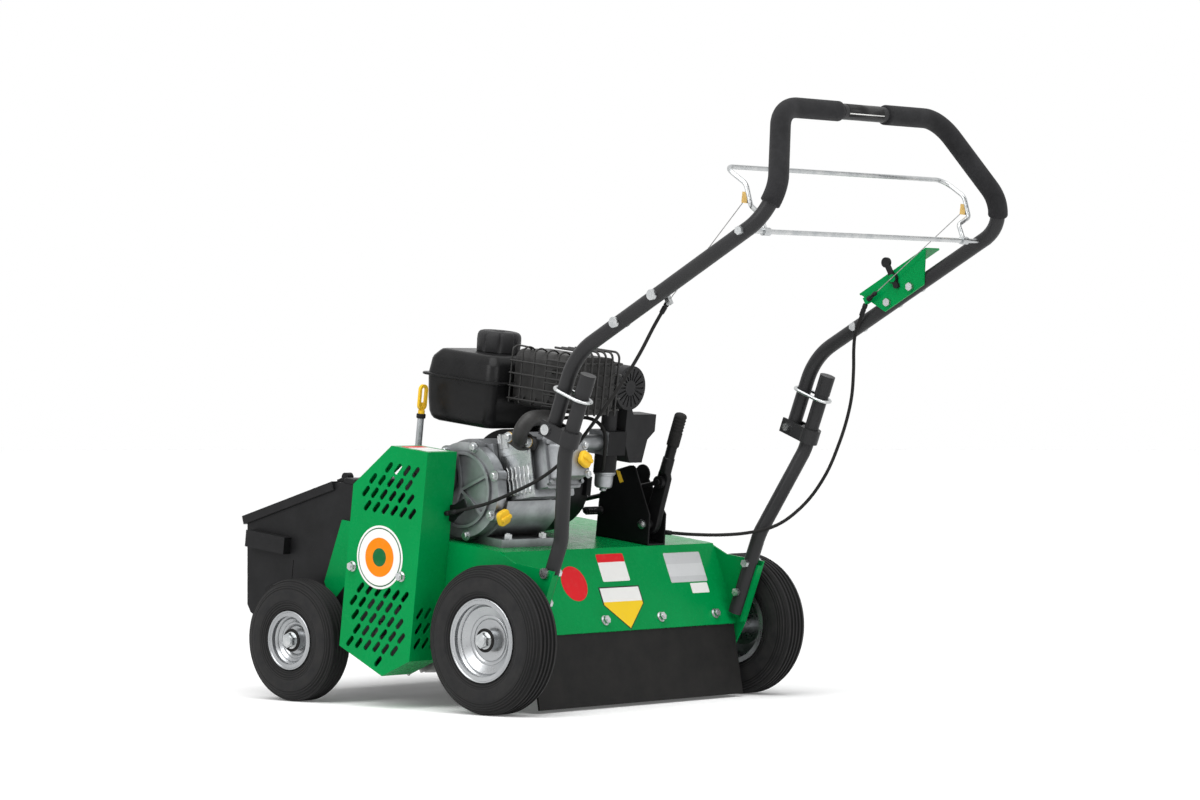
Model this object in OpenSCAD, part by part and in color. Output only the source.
// Walk-behind overseeder: slicing reel under a steel deck, petrol engine on top,
// seed hopper in front, folding handle behind. X is the operator's right, Y is forward, Z is up.

/* [Stance] */
// Nose-up angle of the deck in the transport position
deck_pitch = 7; // [4:0.5:9]
// Rear axle to front axle along the ground
wheelbase = 473; // [465:1:485]

/* [Wheels] */
// Outside diameter of a rear tyre
rear_tyre_d = 254; // [240:1:262]
// Section width of a rear tyre
rear_tyre_w = 66; // [56:1:70]
// Diameter of a rear rim over its lip
rear_rim_d = 142; // [120:1:150]
// Outside diameter of a front tyre
front_tyre_d = 216; // [206:1:222]
// Section width of a front tyre
front_tyre_w = 56; // [48:1:58]
// Diameter of a front rim over its lip
front_rim_d = 103; // [90:1:110]
// Diameter of both axles
axle_d = 20; // [16:1:22]
// Gap between a side plate and a rear tyre
rear_tyre_gap = 17; // [14:1:24]
// Gap between a side plate and a front tyre
front_tyre_gap = 15; // [13:1:22]

/* [Deck] */
// Half of the width over the side plates
deck_half_w = 283; // [278:1:286]
// Thickness of a side plate
side_t = 4; // [3:0.5:5]
// Thickness of the folded deck sheet
deck_t = 3; // [2:0.5:4]
// Height of the deck top above the rear axle
deck_top = 142; // [138:1:146]
// Front edge of the deck top from the rear axle
deck_front = 405; // [400:1:408]

/* [Reel] */
// Cutting diameter of the slicing reel
reel_d = 176; // [150:2:200]
// Number of slicing blades
blade_count = 17; // [9:1:19]
// Thickness of one blade
blade_t = 3; // [2:0.5:5]
// Diameter of the reel shaft
reel_shaft_d = 25; // [20:1:30]

/* [Hopper] */
// Wall of the moulded hopper
hopper_wall = 4; // [3:0.5:6]
// Front face of the hopper from the rear axle
hopper_front = 672; // [660:1:690]
// Thickness of the hopper lid
lid_t = 4; // [3:0.5:6]

/* [Handle] */
// Outside diameter of the handle tube
tube_d = 25.4; // [22:0.2:26]
// Lean of the lower tubes from square to the deck
handle_lean = 14.5; // [12:0.5:17]
// Spacing of the upper tubes from the middle of the machine
handle_half_w = 322; // [316:1:330]
// Diameter over the foam grips
grip_d = 34; // [30:1:38]
// Diameter of the bail wire
bail_d = 8; // [6:0.5:9]

/* [Engine] */
// Height of the crankshaft above the deck top
crank_rise = 106; // [100:1:112]
// Radius of the crankcase
case_r = 88; // [80:1:90]
// Outside size of the fuel tank across the machine
tank_w = 182; // [160:2:190]
// Outside size of the fuel tank along the machine
tank_l = 160; // [140:2:170]

/* [Hidden] */

// Fits shared by the whole machine
$fn = 48;
run_fit = 0.05;      // radial play of a turning shaft
seat_gap = 0.3;      // gap kept between bodies that move past each other
cut = 1;             // overrun of every cut
green = "#0a8f3c";
black = "#1c1c1e";
zinc = "#c3c8cc";
alloy = "#a9abad";
rubber = "#262626";

// Place of the rear axle, so that the middle of the machine's footprint is the origin
rear_r = rear_tyre_d / 2;
front_r = front_tyre_d / 2;
rear_half_track = deck_half_w + rear_tyre_gap + rear_tyre_w / 2;
front_half_track = deck_half_w + front_tyre_gap + front_tyre_w / 2;
tube_r = tube_d / 2;
axle_r = axle_d / 2;
grip_r = grip_d / 2;
bail_r = bail_d / 2;

// Front axle as the deck sees it
axle_drop = front_r - rear_r;
front_axle_y = wheelbase * cos(deck_pitch) + axle_drop * sin(deck_pitch);
front_axle_z = axle_drop * cos(deck_pitch) - wheelbase * sin(deck_pitch);

// Deck sheet: rear panel, top and front skirt
panel_foot_y = -32;
panel_foot_z = 8;
panel_top_y = 42;
skirt_z = 92;
panel_slope = atan((panel_top_y - panel_foot_y) / (deck_top - panel_foot_z));
deck_inner_w = deck_half_w - side_t;

// Side plates
bracket_top_z = 127;
bracket_step_y = 10;
step_run = 12;
nose_y = 430;
nose_lip_y = 460;
nose_lip_z = 27;
chin_y = 425;
chin_z = -30;
plate_foot_z = -72;
plate_foot_front = 330;
plate_foot_rear = 30;
tail_y = -26;
tail_z = -41;
flange_foot_z = 13;
flange_w = 15;

// Handle tubes, in a frame that leans with them
tube_foot_y = -36;
tube_foot_z = 32;
tube_tail = 4;
tube_x = deck_inner_w - tube_r - run_fit;
splay_start = 150;
splay_end = 310;
stub_top = 450;
splay_bend_r = 60;
tube_wall = 2;
tube_gap = 40;
cap_h = 33;
cap_wall = 1.2;
cap_r = tube_r + cap_wall;
fold_s = 338;
upper_tail = 14;
upper_bend_s = 472;
upper_bend_r = 120;
run_rise = 35.4;
run_len = 491;
crown_in = 108;
crown_fwd = 99;
crown_up = 159;
crown_bend_r = 72;
bail_back = 75;
bar_gap = 62;
bolt_r = 4;
bolt_fit = 0.1;

// Clamp at the foot of the upper tubes
clamp_wall = 5.5;
clamp_h = 26;
ear_t = 4;
ear_reach = 15;

// Lock rings
ring_wire_r = 3;
ring_play = 0.5;
ring_s = 408;
ring_r = cap_r + ring_wire_r + ring_play;

// Bail: places from its pivot rod
bail_foot_x = 270;
bail_arm_x = 297;
bail_jog = [14, 26];
bail_elbow = [14, 40];
bail_mid = [28, 74];
bail_bar = [77, 98];
bail_small_bend = 7;
bail_big_bend = 22;
clip_at = [26, 52];
clip_size = [7, 11, 18];

// Throttle bracket on the right tube
throttle_from = 152;
throttle_to = 316;
throttle_h = 44;
throttle_low = -11;
throttle_taper = 34;
throttle_t = 3;
throttle_flange_w = 40;
throttle_pivot = [232, 30];
throttle_arm = 32;
throttle_arm_w = 9;
throttle_arm_t = 6;
throttle_bolts = [200, 256];
guide_bolt = 112;
clip_bolt = 205;
bail_bolt = run_len - bail_back;
bolt_head_r = 9;
bolt_head_h = 5;
nut_r = 7.5;
nut_h = 6.5;
tube_bolts = [36, 92];

// Front swing and the depth linkage
swing_y = 375;
swing_z = 40;
swing_shaft_r = 12;
swing_arm_t = 5;
swing_arm_w = 30;
swing_arm_gap = 1;
swing_eye_r = 22;
crank_len = 110;
crank_t = 6;
crank_w = 22;
crank_eye_r = 18;
link_pin_r = 5;
lever_x = 123;
lever_y = 61;
lever_z = 178;
lever_lean = 13;
lever_t = 8;
lever_w = 28;
lever_blade = 112;
lever_rod_r = 10;
lever_len = 218;
lever_grip_r = 12;
lever_grip_len = 108;
lever_pin = 80;
lever_hub_r = 17;
lever_bolt_r = 6;
link_t = 9;
link_x = lever_x - lever_t / 2 - seat_gap - link_t;
link_rod_r = 4.2;
link_eye_r = 11;
link_slot = 9;
link_slack = 3.5;
bracket_gap = 41;
bracket_t = 3;
bracket_front = 168;
bracket_rear = 43;
bracket_front_h = 80;
bracket_peak_y = 97;
bracket_peak_h = 138;
bracket_shoulder_y = 147;
bracket_shoulder_h = 88;
bracket_heel_h = 53;

// Rear flap
flap_t = 4;
flap_lap = 38;
flap_hang = 17;
flap_clearance = 6;
flap_side = 7;
flap_half_w = deck_inner_w - flap_side;
flap_bolt_shares = [-0.825, -0.275, 0.275, 0.825];
flap_bolt_x = [for (share = flap_bolt_shares) share * flap_half_w];
flap_bolt_up = 20;

// Belt guard on the left side plate: outline in the deck's own frame
guard_t = 2.5;
guard_depth = 73;
guard_rear = 168;
guard_front = 338;
guard_top = 298;
guard_crest = 255;
guard_brow_z = 220;
guard_foot_z = -64;
guard_toe_y = 230;
guard_toe_z = -100;
vent_l = 24;
vent_w = 9;
vent_lean = 38;
vent_pitch_y = 21.5;
vent_pitch_z = 24;
vent_shift = 7;
vent_margin = 17;
emblem_low = 48;
emblem_high = 166;
guard_bolt_y = [204, 322];
guard_bolt_z = 78;

// Reel, its bearings and the belt drive
reel_y = 253;
reel_z = -20;
reel_r = reel_d / 2;
reel_shaft_r = reel_shaft_d / 2;
blade_teeth = 8;
tooth_depth = 20;
blade_hub_r = 20;
reel_margin = 14;
bearing_r = 34;
bearing_t = 16;
belt_out = 47;
belt_x = deck_half_w + belt_out;
belt_w = 13;
belt_t = 8;
belt_play = 0.4;
crank_pulley_r = 30;
reel_pulley_r = 56;
groove = 5;
pulley_w = 22;
shaft_end = 10;
idler_y = 222;
idler_z = 70;
idler_at = [17, 49];
idler_r = 21;
idler_w = 18;
idler_arm_t = 6;
idler_arm_w = 16;
idler_pin_r = 6;

// Hopper and what it holds
hopper_rear = 412;
hopper_ledge = 452;
hopper_top = 206;
hopper_front_z = 112;
hopper_chin_y = 653;
hopper_chin_z = -44;
hopper_sole_y = 643;
hopper_sole_z = -57;
outlet_front = 577;
outlet_rear = 546;
outlet_z = -80;
hopper_knee_z = 52;
hopper_back_z = 140;
mouth_lift = 40;
outlet_w = 12;
outlet_inset = 39;
lid_hinge_r = 4;
lid_hinge_up = 9;
lid_ear_r = 8;
lid_ear_t = 9;
lid_ear_inset = 29;
lid_lip = 11;
lid_gap = 0.4;
lid_setback = 10;
lid_overhang = 9;
grip_box_front = 655;
grip_box_rear = 556;
grip_box_top = 92;
grip_box_low = 62;
grip_box_out = 17;
agitator_y = 590;
agitator_z = -12;
agitator_r = 6;
paddle_r = 27;
paddle_t = 4;
paddle_w = 12;
paddle_count = 11;
gate_t = 3;
gate_w = 34;

// Engine
crank_x = -240;
crank_y = 212;
crank_z = deck_top + crank_rise;
crank_r = 10;
case_y = 166;
case_lift = 2;
case_z = deck_top + case_r + case_lift;
case_len = 136;
foot_h = 14;
foot_rear = 84;
foot_front = 300;
neck_share = 0.8;
cover_t = 22;
cover_boss_r = 32;
cover_boss_t = 9;
cover_bolt_r = 8;
cover_bolts = 7;
spout_r = 14;
spout_y = 97;
spout_z = 196;
spout_len = 28;
cyl_x = -172;
cyl_rise = 15;
barrel_r = 46;
fin_first = 102;
fin_pitch = 9;
fin_count = 8;
fin_t = 2.6;
fin_w = 108;
fin_h = 112;
head_from = 168;
head_t = 26;
rocker_t = 30;
rocker_w = 88;
rocker_h = 78;
blower_r = 90;
blower_z = 240;
blower_len = 105;
recoil_t = 34;
recoil_r = 84;
tank_x = -99;
tank_y = 262;
tank_seam = 404;
tank_high = 460;
tank_taper = 14;
tank_round = 26;
tank_lip = 5;
tank_lip_t = 4;
neck_r = 27;
neck_h = 6;
fuel_cap_r = 38;
fuel_cap_h = 34;
fuel_cap_skirt = 5;
cap_ribs = 20;
muffler_x = [-150, -45];
muffler_y = [32, 172];
muffler_z = [378, 478];
muffler_round = 18;
cage_gap = 11;
cage_wire_r = 2;
cage_rows = 5;
cage_columns = 6;
cage_bend = 12;
elbow_r = 14;
elbow_bend = 16;
elbow_y = 92;
elbow_x = -198;
elbow_low = 342.45;
elbow_turn = 360;
cleaner_x = 12;
cleaner_z = 424;
cleaner_y = [42, 128];
cleaner_r = 39;
cleaner_slots = 18;
carb_y = [62, 108];
carb_x = [-12, 36];
carb_low = 268;
carb_high = 344;
bowl_r = 20;
bowl_h = 34;
stick_x = -215;
stick_y = 325;
stick_low = 262;
stick_top = 344;
stick_r = 2.5;
stick_tube_r = 6;
stick_loop_r = 10;
stick_loop_h = 26;
plug_r = 13;
plug_t = 12;

// Cable rows in the deck's frame, from the handle down:
// how far out of the straight way to the foot, then Y and Z
cable_r = 3;
clutch_rows = [
  [-20, -289.5, 607], [-19, -264, 566], [-17.5, -238, 518], [-16.5, -211, 476], [-16, -182, 436],
  [-15, -155, 402], [-13, -130, 370], [-12.5, -98, 332], [-11.5, -62, 300], [-11, -20, 272],
  [-9, 30, 246], [-5.5, 80, 222], [1.5, 120, 207], [10, 148, 197], [16, 167.5, 191]
];
seed_rows = [
  [-21, -234, 607], [-7.5, -226, 585], [8, -214.5, 553], [28.5, -208, 524], [54, -202, 486],
  [75, -197, 440], [88.5, -190, 395], [95, -182, 350], [97.5, -170, 300], [95, -150, 252],
  [88.5, -124, 214], [77, -102, 192], [61, -70, 178], [43.5, -34, 170], [28, 4, 166],
  [22.5, 40, 164], [27, 62, 163]
];

origin_shift = 29.35;   // middle of the footprint ahead of the rear axle

// Vectors, outlines and bent rods
function unit(v) = v / norm(v);
function arc(c, r, a, b, n) = [for (i = [0 : n]) c + r * [cos(a + (b - a) * i / n),
    sin(a + (b - a) * i / n)]];
function rounded(w, h, r, n) = concat(
  arc([w / 2 - r, h / 2 - r], r, 0, 90, n), arc([r - w / 2, h / 2 - r], r, 90, 180, n),
  arc([r - w / 2, r - h / 2], r, 180, 270, n), arc([w / 2 - r, r - h / 2], r, 270, 360, n));
function left_of(v) = [-v[1], v[0]];
function inset(p, d) = [
  for (i = [0 : len(p) - 1])
    let (a = p[(i + len(p) - 1) % len(p)], b = p[i], c = p[(i + 1) % len(p)])
    let (m = left_of(unit(b - a)), n = left_of(unit(c - b)))
    b + d * (m + n) / (1 + m * n)
];
function flip_x(p) = [for (v = p) [-v[0], v[1], v[2]]];
function backwards(p) = [for (i = [len(p) - 1 : -1 : 0]) p[i]];
function longer(p, d) = [
  for (i = [0 : len(p) - 1])
    i == 0 ? p[0] + d * unit(p[0] - p[1]) : i == len(p) - 1 ? p[i] + d * unit(p[i] - p[i - 1]) : p[i]
];
function turn_angle(a, v, b) = acos(unit(v - a) * unit(b - v));
function setback(a, v, b, turn_r) = turn_r * tan(turn_angle(a, v, b) / 2);

module rod_between(p, q, r) {
  v = q - p;
  translate(p) rotate([0, acos(v[2] / norm(v)), atan2(v[1], v[0])]) cylinder(h = norm(v), r = r);
}

// One bend of a rod at corner v, drawn between two shares of its angle
module bend(a, v, b, turn_r, r, from_share = 0, to_share = 1) {
  u = unit(v - a);
  w = unit(b - v);
  inward = unit(w - u * (w * u));
  start = v - u * setback(a, v, b, turn_r);
  centre = start + inward * turn_r;
  e = -inward;
  k = cross(e, u);
  turn = turn_angle(a, v, b);
  multmatrix([[e[0], u[0], k[0], centre[0]], [e[1], u[1], k[1], centre[1]], [e[2], u[2], k[2], centre[2]]])
    rotate([0, 0, from_share * turn])
      rotate_extrude(angle = (to_share - from_share) * turn)
        translate([turn_r, 0]) circle(r);
}

// A rod bent at every inner point: its straights run a hair thinner into the bends
bend_lap = 0.6;
bend_step = 0.05;
module bent_rod(p, turns, r) {
  last = len(p) - 1;
  for (i = [0 : last - 1]) {
    u = unit(p[i + 1] - p[i]);
    head = i == 0 ? 0 : setback(p[i - 1], p[i], p[i + 1], turns[i - 1]) - bend_lap;
    tail = i == last - 1 ? 0 : setback(p[i], p[i + 1], p[i + 2], turns[i]) - bend_lap;
    rod_between(p[i] + u * head, p[i + 1] - u * tail, r - bend_step);
  }
  for (i = [1 : 1 : last - 1]) bend(p[i - 1], p[i], p[i + 1], turns[i - 1], r);
}

module bent_pipe(p, turns, r, wall) {
  difference() {
    bent_rod(p, turns, r);
    bent_rod(longer(p, cut), turns, r - wall);
  }
}

// A flexible cable as one closed skin swept along its route
module cable(route, r) {
  sides = 8;
  n = len(route);
  path = [for (i = [0 : n - 1]) unit(route[min(i + 1, n - 1)] - route[max(i - 1, 0)])];
  rings = [
    for (i = [0 : n - 1])
      let (e = unit(cross(path[i], [1, 0, 0])), k = cross(path[i], e))
      for (j = [0 : sides - 1])
        route[i] + r * (cos(j * 360 / sides) * e + sin(j * 360 / sides) * k)
  ];
  skin = [
    for (i = [0 : n - 2], j = [0 : sides - 1])
      let (a = i * sides + j, b = i * sides + (j + 1) % sides)
      for (f = [[a, b, b + sides], [a, b + sides, a + sides]]) [f[2], f[1], f[0]]
  ];
  ends = [
    for (j = [1 : sides - 2])
      for (f = [[0, j + 1, j], [(n - 1) * sides, (n - 1) * sides + j, (n - 1) * sides + j + 1]]) [f[2],
          f[1], f[0]]
  ];
  polyhedron(rings, concat(skin, ends), convexity = 10);
}

// Frames: deck, leaning handle tubes and the straight run of the upper handle
module deck_frame() translate([0, -origin_shift, rear_r]) rotate([deck_pitch, 0, 0]) children();
module tube_frame() deck_frame() translate([0, tube_foot_y, tube_foot_z]) rotate([handle_lean, 0, 0])
    children();
module run_frame() tube_frame() translate([0, tube_gap, upper_bend_s])
    rotate([90 - run_rise - handle_lean, 0, 0]) children();
module bail_frame() deck_frame() translate(run_at(0, bail_bolt)) children();
module both_sides() {
  children();
  mirror([1, 0, 0]) children();
}
function tube_at(x, n, s) = [
  x, tube_foot_y - s * sin(handle_lean) + n * cos(handle_lean), tube_foot_z + s * cos(handle_lean) +
      n * sin(handle_lean)
];
function run_at(x, t) = tube_at(x, tube_gap, upper_bend_s) + t * [0, -cos(run_rise), sin(run_rise)];

// Plates square to X, drawn in Y and Z, and rods along X
module x_plate(x, t) translate([x, 0, 0]) rotate([90, 0, 90]) linear_extrude(t) children();
module x_rod(from, to, r, y = 0, z = 0) translate([from, y, z]) rotate([0, 90, 0])
    cylinder(h = to - from, r = r);
module x_hex(from, to, r, y = 0, z = 0) translate([from, y, z]) rotate([0, 90, 0])
    cylinder(h = to - from, r = r, $fn = 6);

// Deck sheet metal
panel_up = [sin(panel_slope), cos(panel_slope)];
panel_in = [cos(panel_slope), -sin(panel_slope)];
panel_foot = [panel_foot_y, panel_foot_z];
panel_inner = panel_foot + deck_t * panel_in;
panel_inner_run = (deck_top - deck_t - panel_inner[1]) / cos(panel_slope);
link_slot_front = swing_y + crank_w;
link_slot_rear = swing_y - crank_len - crank_w / 2;
module deck_shell() {
  outline = [
    panel_foot, [panel_top_y, deck_top], [deck_front, deck_top], [deck_front, skirt_z],
        [deck_front - deck_t, skirt_z],
    [deck_front - deck_t, deck_top - deck_t], panel_inner + panel_inner_run * panel_up, panel_inner
  ];
  color(green) deck_frame() difference() {
    x_plate(-deck_inner_w, 2 * deck_inner_w) polygon(outline);
    translate([link_x - link_t - crank_t, link_slot_rear, deck_top - deck_t - cut])
      cube([2 * link_t + 2 * crank_t, link_slot_front - link_slot_rear, deck_t + 2 * cut]);
    for (x = flap_bolt_x) flap_bolt_place(x) translate([0, 0, -deck_t - cut]) cylinder(h = deck_t +
        2 * cut, r = bolt_r + bolt_fit);
  }
}

function plate_edge(z) = tube_foot_y - (z - tube_foot_z) * tan(handle_lean) - (tube_r + seat_gap +
    side_t) / cos(handle_lean);
side_outline = [
  [plate_edge(flange_foot_z), flange_foot_z], [tail_y, tail_z], [plate_foot_rear, plate_foot_z],
  [plate_foot_front, plate_foot_z], [chin_y, chin_z], [nose_lip_y, nose_lip_z], [nose_y, deck_top],
  [panel_top_y + step_run, deck_top], [bracket_step_y, bracket_top_z], [plate_edge(bracket_top_z),
      bracket_top_z]
];
flange_from = (flange_foot_z - tube_foot_z) / cos(handle_lean) + tube_tail;
flange_to = (bracket_top_z - tube_foot_z) / cos(handle_lean) - tube_tail;
module side_plate() {
  difference() {
    union() {
      deck_frame() x_plate(deck_inner_w, side_t) polygon(side_outline);
      tube_frame() translate([deck_half_w - flange_w, -tube_r - seat_gap - side_t, flange_from])
        cube([flange_w, side_t, flange_to - flange_from]);
    }
    deck_frame() {
      x_rod(deck_inner_w - cut, deck_half_w + cut, axle_r + bolt_fit);
      x_rod(deck_inner_w - cut, deck_half_w + cut, swing_shaft_r + run_fit, swing_y, swing_z);
      x_rod(deck_inner_w - cut, deck_half_w + cut, reel_shaft_r + seat_gap, reel_y, reel_z);
    }
    tube_frame() for (s = tube_bolts) x_rod(deck_inner_w - cut, deck_half_w + cut, bolt_r + bolt_fit, 0, s);
  }
}
module side_plate_right() color(green) side_plate();
module side_plate_left() color(green) {
  mirror([1, 0, 0]) side_plate();
  deck_frame() {
    x_rod(-belt_x + idler_w / 2 + seat_gap + idler_arm_t, -deck_half_w, idler_pin_r + side_t, idler_y,
        idler_z);
    x_rod(-belt_x + idler_w / 2 + seat_gap, -deck_half_w, idler_pin_r, idler_y, idler_z);
  }
}

flap_top = panel_inner + flap_lap * panel_up;
flap_drop = (rear_r + panel_inner[0] * sin(deck_pitch) + panel_inner[1] * cos(deck_pitch) - flap_clearance)
  / cos(flap_hang - deck_pitch);
flap_end = panel_inner - flap_drop * [sin(flap_hang), cos(flap_hang)];
flap_skin = flap_t * [cos(flap_hang), -sin(flap_hang)];
module rear_flap() {
  outline = [
    panel_inner, flap_top, flap_top + flap_t * panel_in, panel_inner + flap_t * panel_in,
    flap_end + flap_skin, flap_end
  ];
  color(rubber) deck_frame() difference() {
    x_plate(-flap_half_w, 2 * flap_half_w) polygon(outline);
    for (x = flap_bolt_x)
      flap_bolt_place(x) translate([0, 0, -deck_t - flap_t - cut]) cylinder(h = deck_t + flap_t + cut,
          r = bolt_r + bolt_fit);
  }
}

module flap_bolt_place(x) {
  at = panel_foot + flap_bolt_up * panel_up;
  translate([x, at[0], at[1]]) rotate([90 - panel_slope, 0, 0]) children();
}
washer_t = 1.6;
module hex_bolt(grip) {
  cylinder(h = washer_t, r = bolt_head_r);
  translate([0, 0, washer_t]) cylinder(h = nut_h, r = nut_r, $fn = 6);
  translate([0, 0, washer_t + nut_h]) cylinder(h = washer_t, r = bolt_r);
  translate([0, 0, -grip]) cylinder(h = grip, r = bolt_r);
}
foot_bolt_in = 10;
foot_bolt_side = 24;
module deck_bolts() color(zinc) deck_frame() {
  for (x = flap_bolt_x) flap_bolt_place(x) hex_bolt(deck_t + flap_t);
  for (y = guard_bolt_y) translate([-deck_half_w - guard_depth, y, guard_bolt_z]) rotate([0, -90, 0])
      hex_bolt(guard_depth);
  for (x = foot_bolt_x, y = [foot_rear + foot_bolt_in, foot_front - foot_bolt_in])
    translate([x, y, deck_top + foot_h]) hex_bolt(foot_h - seat_gap);
}
foot_bolt_x = [crank_x + foot_bolt_side, crank_x + case_len - foot_bolt_side];

// Belt guard: folded box with slanted vents in its face and its rear wall
guard_outline = [
  [guard_rear, guard_foot_z], [guard_toe_y, guard_toe_z], [guard_front, guard_foot_z], [guard_front,
      guard_brow_z],
  [guard_crest, guard_top], [guard_rear, guard_top]
];
guard_room = inset(guard_outline, vent_margin);
function inside(q, p) = min([
  for (i = [0 : len(p) - 1])
    let (a = p[i], b = p[(i + 1) % len(p)])
    left_of(unit(b - a)) * (q - a)
]) > 0;
vents = [
  for (i = [-1 : 18], j = [-2 : 12])
    let (q = [guard_front - vent_margin - j * vent_pitch_y + i % 3 * vent_shift, guard_toe_z +
        i * vent_pitch_z])
    if (inside(q, guard_room) && (q[1] < emblem_low || q[1] > emblem_high)) q
];
module vent() polygon(concat(
  arc([0, (vent_l - vent_w) / 2], vent_w / 2, 0, 180, 4), arc([0, (vent_w - vent_l) / 2], vent_w / 2,
      180, 360, 4)));
rear_vent_rows = [-34, -8, 18];
rear_vent_x = [-20, 0, 20];
module belt_guard() color(green) deck_frame() difference() {
  union() {
    x_plate(-deck_half_w - guard_depth, guard_t) difference() {
      polygon(guard_outline);
      for (q = vents) translate(q) rotate(vent_lean) vent();
      for (y = guard_bolt_y) translate([y, guard_bolt_z]) circle(bolt_r + bolt_fit);
    }
    x_plate(-deck_half_w - guard_depth + guard_t, guard_depth - guard_t) difference() {
      polygon(guard_outline);
      polygon(inset(guard_outline, guard_t));
    }
  }
  for (x = rear_vent_x, z = rear_vent_rows)
    translate([x - deck_half_w - guard_depth / 2, guard_rear + 2 * guard_t, z])
      rotate([90, 0, 0]) rotate(-vent_lean) linear_extrude(4 * guard_t) vent();
}

// Axles, wheels and the front swing
hub_r = 17;
seat_step = 6;
bead_share = 0.78;
lip_t = 3;
barrel_t = 3;
disc_t = 3;
hub_out = 12;
disc_share = 0.22;
dish_share = 0.6;
hub_in_share = 0.9;
collar_r = 15;
shoulder_drop = 7;
groove_w = 3.4;
groove_d = 2.6;
groove_shares = [0.42, 0.14, -0.14, -0.42];
crown_share = 0.62;
axle_nut_r = 15;
axle_nut_t = 11;
function hub_face(w) = disc_share * w / 2 + hub_out;
function lip_face(w) = bead_share * w / 2 + seat_gap + lip_t;

module tyre(d, w, rim) {
  r = d / 2;
  h = w / 2;
  lip = rim / 2;
  seat = lip - seat_step + run_fit;
  bead = bead_share * h;
  foot = lip + seat_gap;
  mid = (foot + r - shoulder_drop) / 2;
  half = (r - shoulder_drop - foot) / 2;
  wall = [for (a = [-90 : 22.5 : 90]) [mid + half * sin(a), bead + (h - bead) * cos(a)]];
  tread = [
    for (g = groove_shares)
      let (c = g * h)
      each [[r, c + groove_w], [r - groove_d, c + groove_w / 2], [r - groove_d, c - groove_w / 2],
          [r, c - groove_w]]
  ];
  under = [for (i = [len(wall) - 1 : -1 : 0]) [wall[i][0], -wall[i][1]]];
  rotate_extrude($fn = 96)
    polygon(concat([[seat, -bead], [seat, bead]], wall, [[r - groove_d, crown_share * h + groove_w]], tread,
      [[r - groove_d, -crown_share * h - groove_w]], under));
}

module rim(w, rim) {
  lip = rim / 2;
  seat = lip - seat_step;
  edge = lip_face(w);
  disc = disc_share * w / 2;
  dish = dish_share * seat;
  rotate_extrude($fn = 96) {
    polygon([[seat - barrel_t, -edge], [lip, -edge], [lip, lip_t - edge], [seat, lip_t - edge],
        [seat, edge - lip_t],
      [lip, edge - lip_t], [lip, edge], [seat - barrel_t, edge]]);
    polygon([[hub_r - disc_t, disc - disc_t], [dish, disc - disc_t], [seat - disc_t / 2, disc +
        hub_out - disc_t],
      [seat - disc_t / 2, disc + hub_out], [dish - disc_t / 2, disc], [hub_r - disc_t, disc]]);
    polygon([[axle_r + run_fit, -hub_in_share * w / 2], [hub_r, -hub_in_share * w / 2],
        [hub_r, hub_face(w)],
      [axle_r + run_fit, hub_face(w)]]);
  }
}

module rear_wheel(side) deck_frame() translate([side * rear_half_track, 0, 0]) rotate([0, side * 90, 0])
    children();
module front_wheel(side) deck_frame() translate([side * front_half_track, front_axle_y, front_axle_z])
    rotate([0, side * 90, 0]) children();
module tyre_rear_left() color(rubber) rear_wheel(-1) tyre(rear_tyre_d, rear_tyre_w, rear_rim_d);
module tyre_rear_right() color(rubber) rear_wheel(1) tyre(rear_tyre_d, rear_tyre_w, rear_rim_d);
module tyre_front_left() color(rubber) front_wheel(-1) tyre(front_tyre_d, front_tyre_w, front_rim_d);
module tyre_front_right() color(rubber) front_wheel(1) tyre(front_tyre_d, front_tyre_w, front_rim_d);
module rim_rear_left() color(zinc) rear_wheel(-1) rim(rear_tyre_w, rear_rim_d);
module rim_rear_right() color(zinc) rear_wheel(1) rim(rear_tyre_w, rear_rim_d);
module rim_front_left() color(zinc) front_wheel(-1) rim(front_tyre_w, front_rim_d);
module rim_front_right() color(zinc) front_wheel(1) rim(front_tyre_w, front_rim_d);

// An axle end outside face "from": collar up to the hub, then a washer and a nut beyond it
module axle_end(from, track, w) {
  x_rod(from, track - hub_in_share * w / 2 - seat_gap, collar_r);
  x_rod(track + hub_face(w) + seat_gap, track + hub_face(w) + seat_gap + washer_t, axle_nut_r);
  x_hex(track + hub_face(w) + seat_gap + washer_t, track + hub_face(w) + seat_gap + axle_nut_t,
      axle_nut_r - washer_t);
}
module rear_axle() color(zinc) deck_frame() {
  reach = rear_half_track + hub_face(rear_tyre_w) + seat_gap + axle_nut_t + washer_t;
  x_rod(-reach, reach, axle_r);
  both_sides() axle_end(deck_half_w, rear_half_track, rear_tyre_w);
}

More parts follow.
